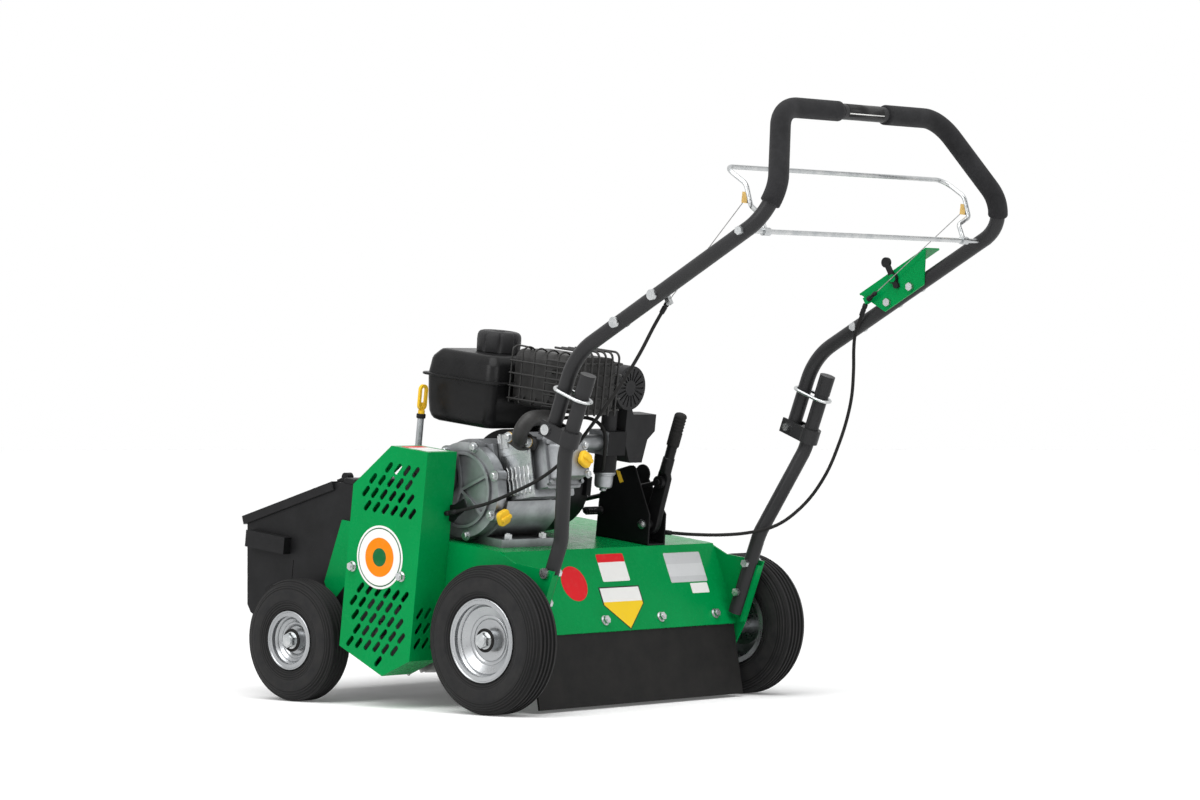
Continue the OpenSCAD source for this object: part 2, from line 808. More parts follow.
swing_out = deck_half_w + swing_arm_gap + swing_arm_t;
module bar_outline(p, q, w, r, s) {
  v = q - p;
  translate(p) circle(r);
  translate(q) circle(s);
  translate(p) rotate(atan2(v[1], v[0])) translate([0, -w / 2]) square([norm(v), w]);
}
module front_swing() color(black) deck_frame() {
  reach = front_half_track + hub_face(front_tyre_w) + seat_gap + axle_nut_t + washer_t;
  pivot = [swing_y, swing_z];
  axle = [front_axle_y, front_axle_z];
  x_rod(-swing_out, swing_out, swing_shaft_r, swing_y, swing_z);
  x_rod(-reach, reach, axle_r, front_axle_y, front_axle_z);
  both_sides() {
    x_plate(swing_out - swing_arm_t, swing_arm_t) bar_outline(pivot, axle, swing_arm_w, swing_eye_r,
        swing_eye_r);
    translate([0, front_axle_y, front_axle_z]) axle_end(swing_out, front_half_track, front_tyre_w);
  }
  x_plate(link_x - seat_gap - crank_t, crank_t)
    bar_outline(pivot, pivot + [0, crank_len], crank_w - washer_t, crank_eye_r, link_eye_r);
  x_rod(link_x - seat_gap - cut, link_x + link_t + seat_gap, link_pin_r, swing_y, swing_z + crank_len);
  x_rod(link_x + link_t + seat_gap, link_x + link_t + seat_gap + washer_t, link_pin_r + washer_t,
      swing_y, swing_z + crank_len);
}

// Depth lever with its bracket and the link to the front swing
lever_pin_y = lever_y - lever_pin * sin(lever_lean);
lever_pin_z = lever_z + lever_pin * cos(lever_lean);
bracket_x = lever_x - bracket_gap / 2 - bracket_t;
bracket_outline = [
  [bracket_rear, deck_top], [bracket_front, deck_top], [bracket_front, deck_top + bracket_front_h],
  [bracket_shoulder_y, deck_top + bracket_shoulder_h], [bracket_peak_y, deck_top + bracket_peak_h],
  [bracket_rear, deck_top + bracket_heel_h]
];
module lever_bracket() color(black) deck_frame() {
  for (x = [bracket_x, bracket_x + bracket_t + bracket_gap]) x_plate(x, bracket_t) polygon(bracket_outline);
  translate([bracket_x, bracket_rear, deck_top])
    cube([bracket_gap + 2 * bracket_t, bracket_front - bracket_rear, bracket_t]);
  x_rod(bracket_x - nut_h, bracket_x + bracket_gap + 2 * bracket_t + nut_h, lever_bolt_r, lever_y, lever_z);
  x_hex(bracket_x - nut_h, bracket_x, nut_r + washer_t, lever_y, lever_z);
  x_hex(bracket_x + bracket_gap + 2 * bracket_t, bracket_x + bracket_gap + 2 * bracket_t + nut_h, nut_r +
      washer_t, lever_y, lever_z);
}
lever_spacer = (bracket_gap - lever_t) / 2 - seat_gap;
spacer_wall = 2.4;
module depth_lever() color(black) deck_frame() translate([lever_x, lever_y, lever_z])
    rotate([lever_lean, 0, 0]) {
  difference() {
    union() {
      x_plate(-lever_t / 2, lever_t) bar_outline([0, 0], [0, lever_blade], lever_w, lever_hub_r,
          lever_w / 2);
      x_rod(-lever_t / 2 - lever_spacer, lever_t / 2 + lever_spacer, lever_bolt_r + spacer_wall);
    }
    x_rod(-bracket_gap, bracket_gap, lever_bolt_r + run_fit);
  }
  translate([0, 0, lever_blade - lever_w / 2]) cylinder(h = lever_len - lever_blade, r = lever_rod_r);
  translate([0, 0, lever_len - lever_grip_len]) grip_turned();
  x_rod(link_x - lever_x - washer_t, -lever_t / 2, link_pin_r, 0, lever_pin);
}
grip_rings = 9;
grip_ring_d = 1.2;
ring_shares = [0.7, 0.8, 0.95];
module grip_turned() {
  step = lever_grip_len / grip_rings;
  rotate_extrude() polygon(concat([[0, 0]], [
    for (i = [0 : grip_rings - 1])
      each [[lever_grip_r, i * step], [lever_grip_r, (i + ring_shares[0]) * step],
        [lever_grip_r - grip_ring_d, (i + ring_shares[1]) * step], [lever_grip_r - grip_ring_d,
            (i + ring_shares[2]) * step]]
  ], [[lever_grip_r - grip_ring_d, lever_grip_len], [0, lever_grip_len + grip_ring_d]]));
}
link_run = [swing_y - lever_pin_y, swing_z + crank_len - lever_pin_z];
link_len = norm(link_run);
module lever_link() color(black) deck_frame()
  translate([link_x, lever_pin_y, lever_pin_z]) rotate([atan2(link_run[1], link_run[0]), 0, 0])
      difference() {
    union() {
      x_rod(0, link_t, link_eye_r);
      translate([link_t / 2, link_eye_r - cut, 0]) rotate([-90, 0, 0])
        cylinder(h = link_len - link_slot - 2 * link_eye_r, r = link_rod_r);
      x_plate(0, link_t) bar_outline([link_len - link_slot, 0], [link_len + link_slot, 0],
          2 * (link_pin_r + link_slack) + link_eye_r,
        link_pin_r + link_slack + link_eye_r / 2, link_pin_r + link_slack + link_eye_r / 2);
    }
    x_rod(-cut, link_t + cut, link_pin_r + run_fit);
    x_plate(-cut, link_t + 2 * cut) bar_outline([link_len - link_slot, 0], [link_len + link_slot, 0],
      2 * (link_pin_r + link_slack) - run_fit, link_pin_r + link_slack, link_pin_r + link_slack);
  }

// Lower tubes, the clamps at the fold and the lock rings
module lower_tube() {
  route = [
    tube_at(tube_x, 0, -tube_tail), tube_at(tube_x, 0, splay_start), tube_at(handle_half_w, 0, splay_end),
    tube_at(handle_half_w, 0, stub_top)
  ];
  difference() {
    deck_frame() bent_pipe(route, [splay_bend_r, splay_bend_r], tube_r, tube_wall);
    tube_frame() for (s = tube_bolts) x_rod(tube_x - tube_d, tube_x + tube_d, bolt_r + bolt_fit, 0, s);
  }
  tube_frame() translate([handle_half_w, 0, stub_top - cap_h]) difference() {
    cylinder(h = cap_h + tube_wall, r = cap_r);
    translate([0, 0, -cut]) cylinder(h = cap_h + cut, r = tube_r - tube_wall / 2);
  }
}
module lower_tube_right() color(black) lower_tube();
module lower_tube_left() color(black) mirror([1, 0, 0]) lower_tube();

ear_gap = tube_r + run_fit;
module fold_clamp() tube_frame() translate([handle_half_w, 0, fold_s - clamp_h / 2]) difference() {
  union() {
    cylinder(h = clamp_h, r = tube_r + clamp_wall);
    for (x = [-ear_gap - ear_t, ear_gap]) translate([x, 0, 0]) cube([ear_t, tube_gap + ear_reach, clamp_h]);
  }
  translate([0, 0, -cut]) cylinder(h = clamp_h + 2 * cut, r = tube_r + run_fit);
  x_rod(-tube_d, tube_d, bolt_r + bolt_fit, tube_gap, clamp_h / 2);
}
module fold_clamps() color(black) both_sides() fold_clamp();

ring_reach = tube_gap + tube_r + ring_play + ring_wire_r - ring_r;
module lock_ring() tube_frame() translate([handle_half_w, 0, ring_s]) {
  rotate([0, 0, 180]) rotate_extrude(angle = 180) translate([ring_r, 0]) circle(ring_wire_r, $fn = 24);
  translate([0, ring_reach, 0]) rotate_extrude(angle = 180) translate([ring_r, 0]) circle(ring_wire_r,
      $fn = 24);
  for (x = [-ring_r, ring_r]) translate([x, 0, 0]) rotate([-90, 0, 0]) cylinder(h = ring_reach,
      r = ring_wire_r, $fn = 24);
}
module lock_ring_right() color(zinc) lock_ring();
module lock_ring_left() color(zinc) mirror([1, 0, 0]) lock_ring();

// Upper handle: one tube bent from foot to foot, with a foam grip on each half of its crown
crown_corner = run_at(handle_half_w, run_len);
crown_top = crown_corner + [-crown_in, crown_fwd, crown_up];
half_handle = [tube_at(handle_half_w, tube_gap, fold_s - upper_tail), tube_at(handle_half_w, tube_gap,
    upper_bend_s), crown_corner, crown_top];
handle_route = concat(half_handle, backwards(flip_x(half_handle)));
handle_turns = [upper_bend_r, crown_bend_r, crown_bend_r, crown_bend_r, crown_bend_r, upper_bend_r];
sleeve_t = 0.6;
sleeve_gap = 4;
module upper_handle() color(black) difference() {
  deck_frame() {
    bent_pipe(handle_route, handle_turns, tube_r, tube_wall);
    translate([0, crown_top[1], crown_top[2]]) difference() {
      x_rod(sleeve_gap - bar_gap, bar_gap - sleeve_gap, tube_r + sleeve_t);
      x_rod(-bar_gap, bar_gap, tube_r - tube_wall / 2);
    }
  }
  both_sides() {
    tube_frame() x_rod(handle_half_w - tube_d, handle_half_w + tube_d, bolt_r + bolt_fit, tube_gap, fold_s);
    run_frame() {
      x_rod(handle_half_w - tube_d, handle_half_w + tube_d, bolt_r + bolt_fit, 0, guide_bolt);
      x_rod(handle_half_w - tube_d, handle_half_w + tube_d, bail_r + run_fit, 0, bail_bolt);
    }
  }
  run_frame() {
    for (t = throttle_bolts) x_rod(handle_half_w - tube_d, handle_half_w + tube_d, bolt_r + bolt_fit, 0, t);
    x_rod(-handle_half_w - tube_d, tube_d - handle_half_w, bolt_r + bolt_fit, 0, clip_bolt);
  }
}

grip_start_share = 0.5;
module grip_skin(r) {
  leg = unit(crown_top - crown_corner);
  before = half_handle[1];
  after = [-crown_top[0], crown_top[1], crown_top[2]];
  low = crown_corner + leg * (setback(before, crown_corner, crown_top, crown_bend_r) - bend_lap);
  rise = setback(crown_corner, crown_top, after, crown_bend_r) - bend_lap;
  bend(before, crown_corner, crown_top, crown_bend_r, r, grip_start_share, 1);
  rod_between(low, crown_top - leg * rise, r - bend_step);
  bend(crown_corner, crown_top, after, crown_bend_r, r);
  rod_between(crown_top - [rise, 0, 0], [bar_gap, crown_top[1], crown_top[2]], r - bend_step);
}
module grip() deck_frame() difference() {
  grip_skin(grip_r);
  grip_skin(tube_r + 2 * run_fit);
}
module grip_right() color(rubber) grip();
module grip_left() color(rubber) mirror([1, 0, 0]) grip();

// Bail: a rod that turns in both tubes and the bent wire welded on it
function bail_pt(x, p) = [x, p[0], p[1]];
bail_start_share = 0.05;
half_bail = [
  bail_pt(bail_foot_x, bail_jog * bail_start_share), bail_pt(bail_foot_x, bail_jog), bail_pt(bail_arm_x,
      bail_elbow),
  bail_pt(bail_arm_x, bail_mid), bail_pt(bail_arm_x, bail_bar)
];
bail_turns = [bail_small_bend, bail_small_bend, bail_big_bend, bail_big_bend];
module bail() color(zinc) bail_frame() {
  end = handle_half_w + tube_r + seat_gap;
  x_rod(-end - nut_h, end + nut_h, bail_r, 0, 0);
  both_sides() {
    x_hex(end, end + nut_h, nut_r);
    x_rod(bail_foot_x - bail_d, bail_foot_x + bail_d, bail_r + clamp_wall / 2);
  }
  bent_rod(concat(half_bail, backwards(flip_x(half_bail))), concat(bail_turns, backwards(bail_turns)),
      bail_r);
}
module cable_clips() color("#b9975b") bail_frame() both_sides() difference() {
  translate([bail_arm_x - clip_size[0] / 2, clip_at[0] - clip_size[1] / 2,
      clip_at[1] - clip_size[2] / 2]) cube(clip_size);
  rod_between(bail_pt(bail_arm_x, bail_elbow), bail_pt(bail_arm_x, bail_mid), bail_r + run_fit);
}

// Throttle bracket, its lever and the bolts of the handle
web_x = handle_half_w - tube_r - run_fit - throttle_t;
throttle_pin_r = 4;
throttle_head_r = 7;
cable_stop = [9, 12, 8];
module throttle_bracket() color(green) run_frame() {
  difference() {
    x_plate(web_x, throttle_t) polygon([[throttle_low, throttle_from + throttle_taper], [throttle_h,
        throttle_from],
      [throttle_h, throttle_to], [throttle_low, throttle_to - throttle_taper]]);
    for (t = throttle_bolts) x_rod(web_x - cut, web_x + throttle_t + cut, bolt_r + bolt_fit, 0, t);
  }
  translate([web_x, throttle_h - throttle_t, throttle_from]) cube([throttle_flange_w, throttle_t,
      throttle_to - throttle_from]);
  x_rod(web_x - throttle_arm_t - 2 * seat_gap, web_x, throttle_pin_r, throttle_pivot[1], throttle_pivot[0]);
  x_rod(web_x - throttle_arm_t - 2 * seat_gap - washer_t, web_x - throttle_arm_t - 2 * seat_gap,
      throttle_head_r,
    throttle_pivot[1], throttle_pivot[0]);
  translate([web_x - cable_stop[0], throttle_pivot[1] - cable_stop[1], throttle_from +
      throttle_taper / 4]) cube(cable_stop);
}
throttle_knob_r = 9;
throttle_tail = 14;
module throttle_lever() color(black) run_frame() translate([web_x - seat_gap - throttle_arm_t,
    throttle_pivot[1], throttle_pivot[0]]) {
  difference() {
    x_plate(0, throttle_arm_t) {
      bar_outline([0, 0], [throttle_arm, 0], throttle_arm_w, throttle_head_r + cut, throttle_knob_r);
      bar_outline([0, 0], [-throttle_tail, 0], throttle_arm_w, throttle_arm_w, throttle_arm_w / 2 + cut);
    }
    x_rod(-cut, throttle_arm_t + cut, throttle_pin_r + run_fit);
  }
}

// A bolt through a tube: nut on the inner side, head on the outer side
module through_bolt(from, to, y, z) {
  x_rod(from - nut_h, to + bolt_head_h, bolt_r, y, z);
  x_hex(from - nut_h, from, nut_r, y, z);
  x_rod(to, to + bolt_head_h, bolt_head_r, y, z);
}
module handle_bolts() color(zinc) {
  inner = handle_half_w - tube_r;
  outer = handle_half_w + tube_r;
  both_sides() {
    tube_frame() {
      for (s = tube_bolts) through_bolt(tube_x - tube_r, deck_half_w, 0, s);
      through_bolt(handle_half_w - ear_gap - ear_t, handle_half_w + ear_gap + ear_t, tube_gap, fold_s);
    }
    run_frame() through_bolt(inner, outer, 0, guide_bolt);
  }
  run_frame() for (t = throttle_bolts) through_bolt(web_x, outer, 0, t);
  mirror([1, 0, 0]) run_frame() {
    through_bolt(inner, outer, 0, clip_bolt);
    translate([inner - cable_stop[0], -cable_stop[1] - nut_r, clip_bolt])
        cube([cable_stop[0], cable_stop[1] + nut_r, cable_stop[2]]);
  }
}

// Control cables
smooth_steps = 4;
function spline(p, i, u) =
  let (a = p[max(i - 1, 0)], b = p[i], c = p[i + 1], d = p[min(i + 2, len(p) - 1)])
  (2 * b + (c - a) * u + (2 * a - 5 * b + 4 * c - d) * u * u + (3 * b - a - 3 * c + d) * u * u * u) / 2;
function smooth(p) = concat(
  [for (i = [0 : len(p) - 2], k = [0 : smooth_steps - 1]) spline(p, i, k / smooth_steps)], [p[len(p) - 1]]);
function route(rows, foot) = [
  for (i = [0 : len(rows) - 1])
    let (up = 1 - i / (len(rows) - 1))
    [foot + up * (handle_half_w - foot) + rows[i][0], rows[i][1], rows[i][2]]
];
module clutch_cable() color(black) deck_frame() cable(smooth(flip_x(route(clutch_rows, deck_half_w))),
    cable_r);
module seed_cable() color(black) deck_frame() cable(smooth(route(seed_rows, lever_x)), cable_r);

// Slicing reel, its bearings and the belt drive
module reel_bearings() color(alloy) deck_frame() both_sides() difference() {
  translate([0, reel_y, reel_z]) {
    x_rod(deck_half_w, deck_half_w + bearing_t / 2, bearing_r);
    x_rod(deck_half_w, deck_half_w + bearing_t, bearing_r * bearing_boss_share);
  }
  x_rod(deck_inner_w, deck_half_w + bearing_t + cut, reel_shaft_r + run_fit, reel_y, reel_z);
}
bearing_boss_share = 0.65;
pulley_rim = 3;
module pulley(r, w) {
  h = belt_w / 2 + belt_play;
  rotate_extrude() polygon([[0, -w / 2], [r, -w / 2], [r, -h - pulley_rim / 2], [r - groove, -h],
      [r - groove, h],
    [r, h + pulley_rim / 2], [r, w / 2], [0, w / 2]]);
}
module reel_shaft() color(zinc) deck_frame() translate([0, reel_y, reel_z]) {
  x_rod(-belt_x - pulley_w / 2 - shaft_end, deck_half_w + bearing_t + shaft_end, reel_shaft_r);
  translate([-belt_x, 0, 0]) rotate([0, 90, 0]) pulley(reel_pulley_r, pulley_w);
}
gullet_shares = [0.55, 0.67];
tooth = [[0, reel_r], [gullet_shares[0], reel_r - tooth_depth / 4], [gullet_shares[1],
    reel_r - tooth_depth]];
blade_outline = [
  for (i = [0 : blade_teeth - 1], p = tooth)
    p[1] * [cos((i + p[0]) * 360 / blade_teeth), sin((i + p[0]) * 360 / blade_teeth)]
];
module reel_blades() color(alloy) deck_frame() translate([0, reel_y, reel_z]) difference() {
  half = deck_inner_w - reel_margin;
  pitch = (2 * half - blade_t) / (blade_count - 1);
  union() {
    x_rod(-half, half, blade_hub_r);
    for (i = [0 : blade_count - 1])
      x_plate(i * pitch - half, blade_t) rotate(i * 360 / blade_teeth / 3) polygon(blade_outline);
  }
  x_rod(-half - cut, half + cut, reel_shaft_r + run_fit);
}

belt_top = [crank_y, crank_z];
belt_low = [reel_y, reel_z];
belt_heading = atan2(belt_low[1] - belt_top[1], belt_low[0] - belt_top[0]);
belt_wrap = acos((crank_pulley_r - reel_pulley_r) / norm(belt_low - belt_top));
function belt_loop(out) = concat(
  arc(belt_top, crank_pulley_r - groove + out, belt_heading + belt_wrap, belt_heading + 360 - belt_wrap,
      24),
  arc(belt_low, reel_pulley_r - groove + out, belt_heading - belt_wrap, belt_heading + belt_wrap, 24));
module drive_belt() color(rubber) deck_frame() x_plate(-belt_x - belt_w / 2, belt_w) difference() {
  polygon(belt_loop(belt_play + belt_t));
  polygon(belt_loop(belt_play));
}
idler_hub_r = 12;
module idler_arm() color(alloy) deck_frame() translate([-belt_x + idler_w / 2 + seat_gap, idler_y,
    idler_z]) difference() {
  union() {
    x_plate(0, idler_arm_t) bar_outline([0, 0], idler_at, idler_arm_w, idler_hub_r, idler_hub_r);
    x_rod(-idler_w - seat_gap, 0, idler_r, idler_at[0], idler_at[1]);
  }
  x_rod(-idler_w - cut, idler_arm_t + cut, idler_pin_r + run_fit);
}
crank_tail = 24;
module crankshaft() color(zinc) deck_frame() translate([0, crank_y, crank_z]) {
  x_rod(-belt_x - pulley_w / 2 - pulley_rim, crank_x + crank_tail, crank_r);
  translate([-belt_x, 0, 0]) rotate([0, 90, 0]) pulley(crank_pulley_r, pulley_w);
}

// Hopper, lid, agitator and gate
hopper_w = deck_inner_w - run_fit;
outlet_half_l = hopper_w - outlet_inset;
lid_ear_x = hopper_w - lid_ear_inset;
hopper_outline = [
  [outlet_rear, outlet_z], [outlet_front, outlet_z], [hopper_sole_y, hopper_sole_z], [hopper_chin_y,
      hopper_chin_z],
  [hopper_front, hopper_front_z], [hopper_ledge, hopper_top], [hopper_rear, hopper_top], [hopper_rear,
      hopper_back_z],
  [outlet_rear, hopper_knee_z]
];
lid_run = norm([hopper_front - hopper_ledge, hopper_top - hopper_front_z]);
lid_slope = atan((hopper_top - hopper_front_z) / (hopper_front - hopper_ledge));
mouth_rim = 14;
lug_t = 5;
rail_t = 5;
rail_drop = 8;
outlet_y = (outlet_rear + outlet_front) / 2;
module lid_frame() deck_frame() translate([0, hopper_ledge, hopper_top]) rotate([-lid_slope, 0, 0])
    children();
module hopper() color(black) {
  difference() {
    union() {
      deck_frame() {
        difference() {
          x_plate(-hopper_w, 2 * hopper_w) polygon(hopper_outline);
          x_plate(hopper_wall - hopper_w, 2 * (hopper_w - hopper_wall)) polygon(inset(hopper_outline,
              hopper_wall));
        }
        both_sides() difference() {
          translate([hopper_w - cut, grip_box_rear, grip_box_low])
            cube([grip_box_out + cut, grip_box_front - grip_box_rear, grip_box_top - grip_box_low]);
          translate([hopper_w, grip_box_rear + hopper_wall, grip_box_low - cut])
            cube([grip_box_out - hopper_wall, grip_box_front - grip_box_rear - 2 * hopper_wall,
                grip_box_top - grip_box_low + cut - hopper_wall]);
        }
      }
      both_sides() lid_frame() {
        x_plate(lid_ear_x - lug_t - seat_gap, lug_t) hinge_lug(-cut);
        x_rod(lid_ear_x - lug_t, lid_ear_x + lid_ear_t + seat_gap, lid_hinge_r, 0, lid_hinge_up);
      }
    }
    lid_frame() translate([mouth_rim - hopper_w, mouth_rim, -hopper_wall - cut])
      cube([2 * (hopper_w - mouth_rim), lid_run - 2 * mouth_rim, mouth_lift]);
    deck_frame() {
      translate([-outlet_half_l, outlet_y - outlet_w / 2, outlet_z - cut]) cube([2 * outlet_half_l,
          outlet_w, hopper_wall + 2 * cut]);
      x_rod(-hopper_w - cut, hopper_w + cut, agitator_r + run_fit, agitator_y, agitator_z);
    }
  }
  deck_frame() both_sides() {
    translate([outlet_half_l + rail_t, outlet_rear, outlet_z - rail_drop])
        cube([rail_t, outlet_front - outlet_rear, rail_drop]);
    translate([outlet_half_l - rail_t, outlet_rear, outlet_z - rail_drop])
      cube([2 * rail_t, outlet_front - outlet_rear, rail_drop - gate_t - 2 * seat_gap]);
  }
}
module hinge_lug(foot) {
  translate([0, lid_hinge_up]) circle(lid_ear_r);
  translate([-lid_ear_r + cut, foot]) square([2 * (lid_ear_r - cut), lid_hinge_up - foot]);
}
module hopper_lid() color(black) lid_frame() {
  half = hopper_w + lid_gap + lid_t;
  translate([-half, lid_setback, lid_gap]) cube([2 * half, lid_run + lid_overhang - lid_setback, lid_t]);
  both_sides() {
    translate([half - lid_t, lid_setback, -lid_lip]) cube([lid_t, lid_run + lid_overhang - lid_setback,
        lid_lip + lid_gap]);
    difference() {
      x_plate(lid_ear_x, lid_ear_t) {
        translate([0, lid_hinge_up]) circle(lid_ear_r);
        translate([0, 2 * lid_gap]) square([2 * lid_setback, lid_hinge_up]);
      }
      x_rod(lid_ear_x - cut, lid_ear_x + lid_ear_t + cut, lid_hinge_r + run_fit, 0, lid_hinge_up);
    }
  }
  translate([-half, lid_run + lid_overhang - lid_t, -lid_lip]) cube([2 * half, lid_t, lid_lip + lid_gap]);
}
agitator_disc_r = 13;
agitator_disc_t = 8;
module agitator() color(zinc) deck_frame() translate([0, agitator_y, agitator_z]) {
  reach = outlet_half_l - paddle_w;
  x_rod(-hopper_w - agitator_disc_t, hopper_w + agitator_disc_t, agitator_r);
  x_rod(-hopper_w - agitator_disc_t - seat_gap, -hopper_w - seat_gap, agitator_disc_r);
  for (i = [0 : paddle_count - 1])
    translate([2 * reach * i / (paddle_count - 1) - reach, 0, 0]) rotate([i * 90, 0, 0])
      translate([-paddle_w / 2, -paddle_r, -paddle_t / 2]) cube([paddle_w, 2 * paddle_r, paddle_t]);
}
module seed_gate() color(zinc) deck_frame()
  translate([-outlet_half_l - rail_t + seat_gap, outlet_y - gate_w / 2, outlet_z - gate_t - seat_gap])
    cube([2 * (outlet_half_l + rail_t - seat_gap), gate_w, gate_t]);

// Engine castings
cyl_dir = [-cos(cyl_rise), sin(cyl_rise)];
cyl_side = [sin(cyl_rise), cos(cyl_rise)];
module cyl_frame() deck_frame() translate([cyl_x, crank_y, crank_z]) rotate([90 - cyl_rise, 0, 0])
    children();
case_mid = [case_y, case_z];
fin_clear = 2;
function cyl_at(along, aside) = belt_top + along * cyl_dir + aside * cyl_side;
fin_room = [
  cyl_at(fin_first - cut, -fin_h / 2 - fin_clear), cyl_at(head_from, -fin_h / 2 - fin_clear),
  cyl_at(head_from, fin_h / 2 + fin_clear), cyl_at(fin_first - cut, fin_h / 2 + fin_clear)
];
stick_bend_r = 20;
module crankcase() color(alloy) deck_frame() {
  neck = fin_h / 2 * neck_share;
  root = belt_top;
  difference() {
    union() {
      x_plate(crank_x, case_len) {
        difference() {
          translate(case_mid) circle(case_r, $fn = 64);
          polygon(fin_room);
        }
        polygon([root - neck * cyl_side, root + neck * cyl_side, root + neck * cyl_side +
            (fin_first - cut) * cyl_dir,
          root - neck * cyl_side + (fin_first - cut) * cyl_dir]);
      }
      translate([crank_x, foot_rear, deck_top]) cube([case_len, foot_front - foot_rear, foot_h]);
    }
    x_rod(crank_x - cut, crank_x + crank_tail + cut, crank_r + run_fit, crank_y, crank_z);
    for (x = foot_bolt_x, y = [foot_rear + foot_bolt_in, foot_front - foot_bolt_in])
      translate([x, y, deck_top - cut]) cylinder(h = foot_h + 2 * cut, r = bolt_r + bolt_fit);
  }
  bent_pipe([[stick_x, case_y + case_r - stick_bend_r, case_z], [stick_x, stick_y, stick_low],
      [stick_x, stick_y, stick_top]],
    [stick_bend_r], stick_tube_r, stick_tube_r - stick_r - seat_gap);
}
cover_r_share = 0.94;
cover_ring_r = 66;
cover_rib_h = 5;
cover_rib_t = 5;
cover_rib_angles = [75, 150, 215, 290];
spout_run_share = 1.6;
spout_neck_share = 0.75;
plug_seat_share = spout_run_share - 1;
module crankcase_cover() color(alloy) deck_frame() difference() {
  union() {
    x_rod(crank_x - cover_t, crank_x, case_r * cover_r_share, case_y, case_z);
    x_rod(crank_x - cover_t - cover_boss_t, crank_x - cover_t + cut, cover_boss_r, crank_y, crank_z);
    for (i = [0 : cover_bolts - 1]) translate([0, case_y, case_z]) rotate([i * 360 / cover_bolts, 0, 0]) {
      x_rod(crank_x - cover_t + cut, crank_x, cover_bolt_r + washer_t, case_r - cover_bolt_r - washer_t, 0);
      x_hex(crank_x - cover_t - bolt_r, crank_x, cover_bolt_r - washer_t,
          case_r - cover_bolt_r - washer_t, 0);
    }
    translate([0, case_y, case_z]) {
      difference() {
        x_rod(crank_x - cover_t - cover_rib_h, crank_x - cover_t + cut, cover_ring_r);
        x_rod(crank_x - cover_t - cover_rib_h - cut, crank_x - cover_t, cover_ring_r - cover_rib_t);
      }
      for (a = cover_rib_angles) rotate([a, 0, 0])
        translate([crank_x - cover_t - cover_rib_h, 0, -cover_rib_t / 2]) cube([cover_rib_h + cut,
            cover_ring_r, cover_rib_t]);
    }
    translate([crank_x - cover_t / 2, spout_y + spout_len, spout_z]) rotate([90, 0, 0])
        cylinder(h = spout_len * spout_run_share, r = spout_r * spout_neck_share);
  }
  x_rod(crank_x - cover_t - cover_boss_t - cut, crank_x + cut, crank_r + run_fit, crank_y, crank_z);
}
module cylinder_casting() color(alloy) cyl_frame() {
  translate([0, 0, fin_first - cut]) cylinder(h = head_from - fin_first + 2 * cut, r = barrel_r);
  for (i = [0 : fin_count - 1]) translate([0, 0, fin_first + i * fin_pitch])
    linear_extrude(fin_t) polygon(rounded(fin_w, fin_h, tank_lip, 3));
  translate([0, 0, head_from]) linear_extrude(head_t) polygon(rounded(fin_w * neck_share,
      fin_h * neck_share, tank_lip, 3));
}
module rocker_cover() color(alloy) cyl_frame() translate([0, 0, head_from + head_t]) {
  linear_extrude(tank_lip) polygon(rounded(rocker_w, rocker_h, tank_lip, 4));
  linear_extrude(rocker_t, scale = neck_share) polygon(rounded(rocker_w - tank_lip * 2,
      rocker_h - tank_lip * 2, tank_lip, 4));
  for (x = [-1, 1], y = [-1, 1]) translate([x * (rocker_w / 2 - tank_lip), y * (rocker_h / 2 - tank_lip),
      tank_lip])
    cylinder(h = bolt_r, r = bolt_r, $fn = 6);
}
blower_x = crank_x + case_len;
recoil_x = blower_x + blower_len;
blower_fit = 2;
tank_low = blower_z + blower_r + blower_fit + seat_gap;
module blower_housing() color(black) deck_frame() {
  x_rod(blower_x, recoil_x, blower_r, crank_y, blower_z);
  x_rod(blower_x + blower_len / 2, recoil_x - tank_lip, blower_r + blower_fit, crank_y, blower_z);
}
recoil_slots = 14;
slot_w = 5;
slot_depth = 4;
recoil_step = 10;
rope_grip = [12, 34, 14];
rope_seat_share = 5 / 6;
module recoil_starter() color(black) deck_frame() translate([recoil_x, crank_y, blower_z]) {
  difference() {
    union() {
      x_rod(0, recoil_t - recoil_step, recoil_r);
      x_rod(0, recoil_t, recoil_r - recoil_step);
    }
    for (i = [0 : recoil_slots - 1]) rotate([i * 360 / recoil_slots, 0, 0])
      translate([recoil_t - slot_depth, recoil_r / 3, -slot_w / 2]) cube([slot_depth + cut, recoil_r / 2,
          slot_w]);
  }
  translate([recoil_step - rope_grip[0] / 2, -recoil_r - rope_grip[2] * rope_seat_share, -rope_grip[1] / 2])
    cube([rope_grip[0], rope_grip[2], rope_grip[1]]);
}

// Fuel tank, muffler and intake
module tank_body(h) linear_extrude(h, scale = [1 - 2 * tank_taper / tank_w, 1 - 2 * tank_taper / tank_l])
  polygon(rounded(tank_w, tank_l, tank_round, 5));
module fuel_tank() color(black) deck_frame() translate([tank_x, tank_y, tank_seam]) {
  tank_body(tank_high - tank_seam);
  mirror([0, 0, 1]) tank_body(tank_seam - tank_low);
  translate([0, 0, -tank_lip_t / 2]) linear_extrude(tank_lip_t) polygon(rounded(tank_w + 2 * tank_lip,
      tank_l + 2 * tank_lip, tank_round, 5));
  translate([0, 0, tank_high - tank_seam - cut]) cylinder(h = neck_h + cut, r = neck_r);
}
cap_rib = 1.6;
rib_shares = [0.5, 0.6, 0.9];
cap_wave = [
  [0, fuel_cap_r], [rib_shares[0], fuel_cap_r], [rib_shares[1], fuel_cap_r - cap_rib], [rib_shares[2],
      fuel_cap_r - cap_rib]
];
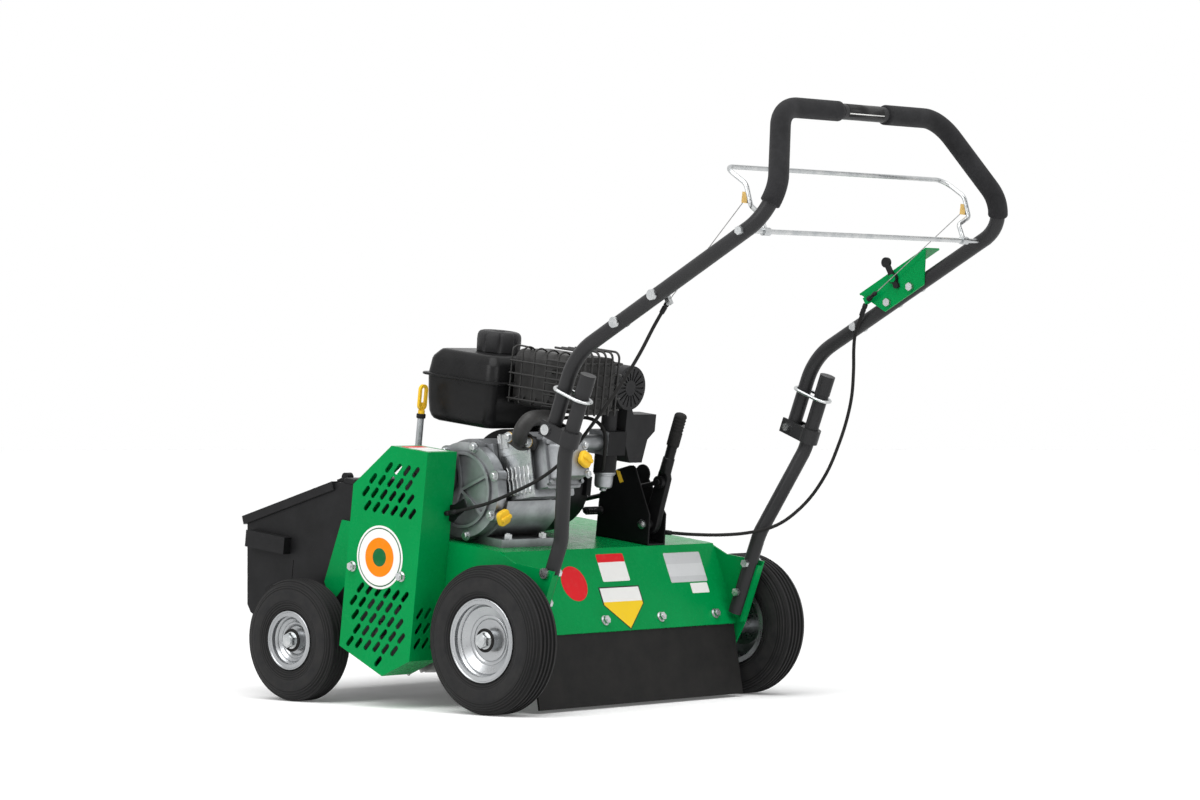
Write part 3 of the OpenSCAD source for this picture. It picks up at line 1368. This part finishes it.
module fuel_cap() color(black) deck_frame() translate([tank_x, tank_y, tank_high + seat_gap]) difference() {
  union() {
    linear_extrude(fuel_cap_h - fuel_cap_skirt) polygon([
      for (i = [0 : cap_ribs - 1], p = cap_wave)
        p[1] * [cos((i + p[0]) * 360 / cap_ribs), sin((i + p[0]) * 360 / cap_ribs)]
    ]);
    cylinder(h = fuel_cap_h, r = fuel_cap_r - 2 * fuel_cap_skirt);
  }
  translate([0, 0, -cut]) cylinder(h = neck_h + cut, r = neck_r + run_fit);
}
module muffler() color("#33312f") deck_frame()
  translate([(muffler_x[0] + muffler_x[1]) / 2, muffler_y[1], (muffler_z[0] + muffler_z[1]) / 2])
      rotate([90, 0, 0])
    linear_extrude(muffler_y[1] - muffler_y[0])
      polygon(rounded(muffler_x[1] - muffler_x[0], muffler_z[1] - muffler_z[0], muffler_round, 6));
cage_deep = 70;
cage_peg_in = 30;
cage_lap_share = 1.5;
cage_peg_z = [muffler_z[0] + cage_peg_in, muffler_z[1] - cage_peg_in];
module muffler_guard() color("#2b2b2b") deck_frame() {
  x0 = muffler_x[0] - cage_gap;
  x1 = muffler_x[1] + cage_gap;
  y0 = muffler_y[0] - cage_gap;
  z1 = muffler_z[1] + cage_gap;
  for (i = [0 : cage_rows - 1]) {
    z = muffler_z[0] + (i + 0.5) * (muffler_z[1] - muffler_z[0]) / cage_rows;
    bent_rod([[x0, y0 + cage_deep, z], [x0, y0, z], [x1, y0, z], [x1, y0 + cage_deep, z]],
        [cage_bend, cage_bend], cage_wire_r, $fn = 16);
  }
  for (z = cage_peg_z) {
    x_rod(x0, muffler_x[0] - run_fit, 2 * cage_wire_r, y0 + cage_deep - cage_bend, z);
    x_rod(muffler_x[1] + run_fit, x1, 2 * cage_wire_r, y0 + cage_deep - cage_bend, z);
  }
  for (i = [0 : cage_columns - 1]) {
    x = muffler_x[0] + (i + 0.5) * (muffler_x[1] - muffler_x[0]) / cage_columns;
    bent_rod([[x, y0 - cage_wire_r * cage_lap_share, muffler_z[0]],
        [x, y0 - cage_wire_r * cage_lap_share, z1], [x, y0 + cage_deep, z1]],
      [cage_bend], cage_wire_r, $fn = 16);
  }
}
elbow_flange = [50, 7];
module exhaust_elbow() color("#5d5650") deck_frame() {
  bent_rod([[elbow_x, elbow_y, elbow_low], [elbow_x, elbow_y, elbow_turn],
    [muffler_x[0] + 2 * elbow_r, elbow_y, elbow_turn], [muffler_x[0] + 2 * elbow_r, elbow_y, muffler_z[0]]],
    [elbow_bend, elbow_bend], elbow_r);
  translate([elbow_x, elbow_y, elbow_low]) {
    linear_extrude(elbow_flange[1])
      bar_outline([-elbow_flange[0] / 2, 0], [elbow_flange[0] / 2, 0], 2 * (elbow_r - bend_lap),
          elbow_r / 2 + bend_lap, elbow_r / 2 + bend_lap);
    for (x = [-elbow_flange[0] / 2, elbow_flange[0] / 2]) translate([x, 0, elbow_flange[1] - bend_lap])
      cylinder(h = bolt_head_h, r = nut_r - washer_t, $fn = 6);
  }
}
duct_r = 14;
intake_y = [66, 106];
intake_neck = 58;
intake_shelf = 30;
intake_reach = 80;
intake_drop = 56;
intake_foot = [18, 52];
intake_outline = [
  [0, intake_neck], [intake_foot[0] - intake_shelf / 2, intake_neck], [intake_foot[0], intake_shelf],
      [intake_reach, intake_shelf],
  [intake_reach, 0], [intake_foot[1] + intake_shelf / 3, -intake_shelf / 2], [intake_foot[1], -intake_drop],
  [intake_foot[0], -intake_drop], [0, -intake_shelf / 2]
];
slot_in_share = 0.35;
slot_len_share = 0.52;
cleaner_slot_d = 3;
module air_cleaner() color(black) deck_frame() {
  translate([cleaner_x, cleaner_y[1], cleaner_z]) rotate([90, 0, 0]) difference() {
    cylinder(h = cleaner_y[1] - cleaner_y[0], r = cleaner_r);
    for (i = [0 : cleaner_slots - 1]) rotate(i * 360 / cleaner_slots)
      translate([cleaner_r * slot_in_share, -cleaner_slot_d / 2,
          cleaner_y[1] - cleaner_y[0] - cleaner_slot_d])
        cube([cleaner_r * slot_len_share, cleaner_slot_d, cleaner_slot_d + cut]);
  }
  translate([cleaner_x, (carb_y[0] + carb_y[1]) / 2, carb_high])
      cylinder(h = cleaner_z - carb_high - cleaner_r / 2, r = duct_r);
  translate([carb_x[1] + seat_gap, intake_y[1], carb_high]) rotate([90, 0, 0])
    linear_extrude(intake_y[1] - intake_y[0]) polygon(intake_outline);
}
module carburettor() color(alloy) deck_frame() {
  mid = [(carb_x[0] + carb_x[1]) / 2, (carb_y[0] + carb_y[1]) / 2];
  translate([carb_x[0], carb_y[0], carb_low + bowl_h]) cube([carb_x[1] - carb_x[0],
      carb_y[1] - carb_y[0], carb_high - carb_low - bowl_h]);
  translate([mid[0], mid[1], carb_low]) cylinder(h = bowl_h + cut, r = bowl_r);
  x_rod(cyl_x + fin_w / 2, carb_x[0] + cut, duct_r, mid[1], (carb_low + bowl_h + carb_high) / 2);
}
shield_t = 2;
shield_ribs = 4;
hood_ribs = 3;
shield_hood_share = 0.6;
hood_reach = 40;
hood_low = fin_h * (neck_share - 1 / 2) + seat_gap;
function hood(t) = [
  [-fin_w / 2, hood_low], [-fin_w / 2, fin_h / 2], [hood_reach - fin_w / 2, fin_h / 2],
      [hood_reach - fin_w / 2, fin_h / 2 + t],
  [-fin_w / 2 - t, fin_h / 2 + t], [-fin_w / 2 - t, hood_low]
];
module cylinder_shields() color(zinc) cyl_frame() {
  long = fin_count * fin_pitch;
  translate([-fin_w / 2 - shield_t, -fin_h / 2, fin_first]) cube([shield_t, fin_h * neck_share, long]);
  for (i = [0 : shield_ribs - 1])
    translate([-fin_w / 2 - 2 * shield_t,
        (i + 0.5) * fin_h * neck_share / shield_ribs - fin_h / 2 - shield_t, fin_first + tank_lip])
      cube([shield_t + cut, 2 * shield_t, long - 2 * tank_lip]);
  translate([0, 0, fin_first]) linear_extrude(long * shield_hood_share) polygon(hood(shield_t));
  for (i = [0 : hood_ribs - 1]) translate([0, 0, fin_first +
      (i + 0.5) * long * shield_hood_share / hood_ribs - shield_t])
    linear_extrude(2 * shield_t) polygon(hood(2 * shield_t));
}
module oil_plugs() color("#e0b11c") {
  deck_frame() translate([crank_x - cover_t / 2, spout_y - spout_len * plug_seat_share, spout_z])
      rotate([90, 0, 0]) cylinder(h = plug_t, r = plug_r);
  cyl_frame() translate([rocker_w / 4, 0, head_from + head_t + rocker_t]) cylinder(h = plug_t, r = plug_r);
}
stick_slot_r = stick_loop_r - 2 * stick_r + run_fit;
module dipstick() color("#e0b11c") deck_frame() translate([stick_x, stick_y, 0]) {
  translate([0, 0, stick_low + stick_bend_r]) cylinder(h = stick_top - stick_low, r = stick_r - run_fit);
  translate([0, 0, stick_top + seat_gap]) cylinder(h = stick_tube_r, r = stick_tube_r);
  translate([0, stick_r, stick_top + stick_tube_r]) rotate([90, 0, 0]) linear_extrude(2 * stick_r)
      difference() {
    bar_outline([0, stick_loop_r], [0, stick_loop_r + stick_loop_h], 2 * stick_loop_r - run_fit,
        stick_loop_r, stick_loop_r);
    bar_outline([0, stick_loop_r], [0, stick_loop_r + stick_loop_h], 2 * stick_slot_r - run_fit,
        stick_slot_r, stick_slot_r);
  }
}

deck_shell();
side_plate_left();
side_plate_right();
rear_flap();
deck_bolts();
belt_guard();
rear_axle();
lever_bracket();
hopper();
lower_tube_left();
lower_tube_right();
fold_clamps();
handle_bolts();
upper_handle();
grip_left();
grip_right();
throttle_bracket();
clutch_cable();
seed_cable();
reel_bearings();
drive_belt();
crankcase();
crankcase_cover();
cylinder_casting();  // cylinder
rocker_cover();
blower_housing();
recoil_starter();
fuel_tank();
muffler();
muffler_guard();
exhaust_elbow();
air_cleaner();
carburettor();
cylinder_shields();
oil_plugs();
tyre_front_left();
rim_front_left();
tyre_front_right();
rim_front_right();
tyre_rear_left();
rim_rear_left();
tyre_rear_right();
rim_rear_right();
front_swing();
depth_lever();
lever_link();
bail();
cable_clips();
throttle_lever();
hopper_lid();
agitator();
seed_gate();
reel_shaft();
reel_blades();
crankshaft();
idler_arm();
fuel_cap();
dipstick();
lock_ring_left();
lock_ring_right();
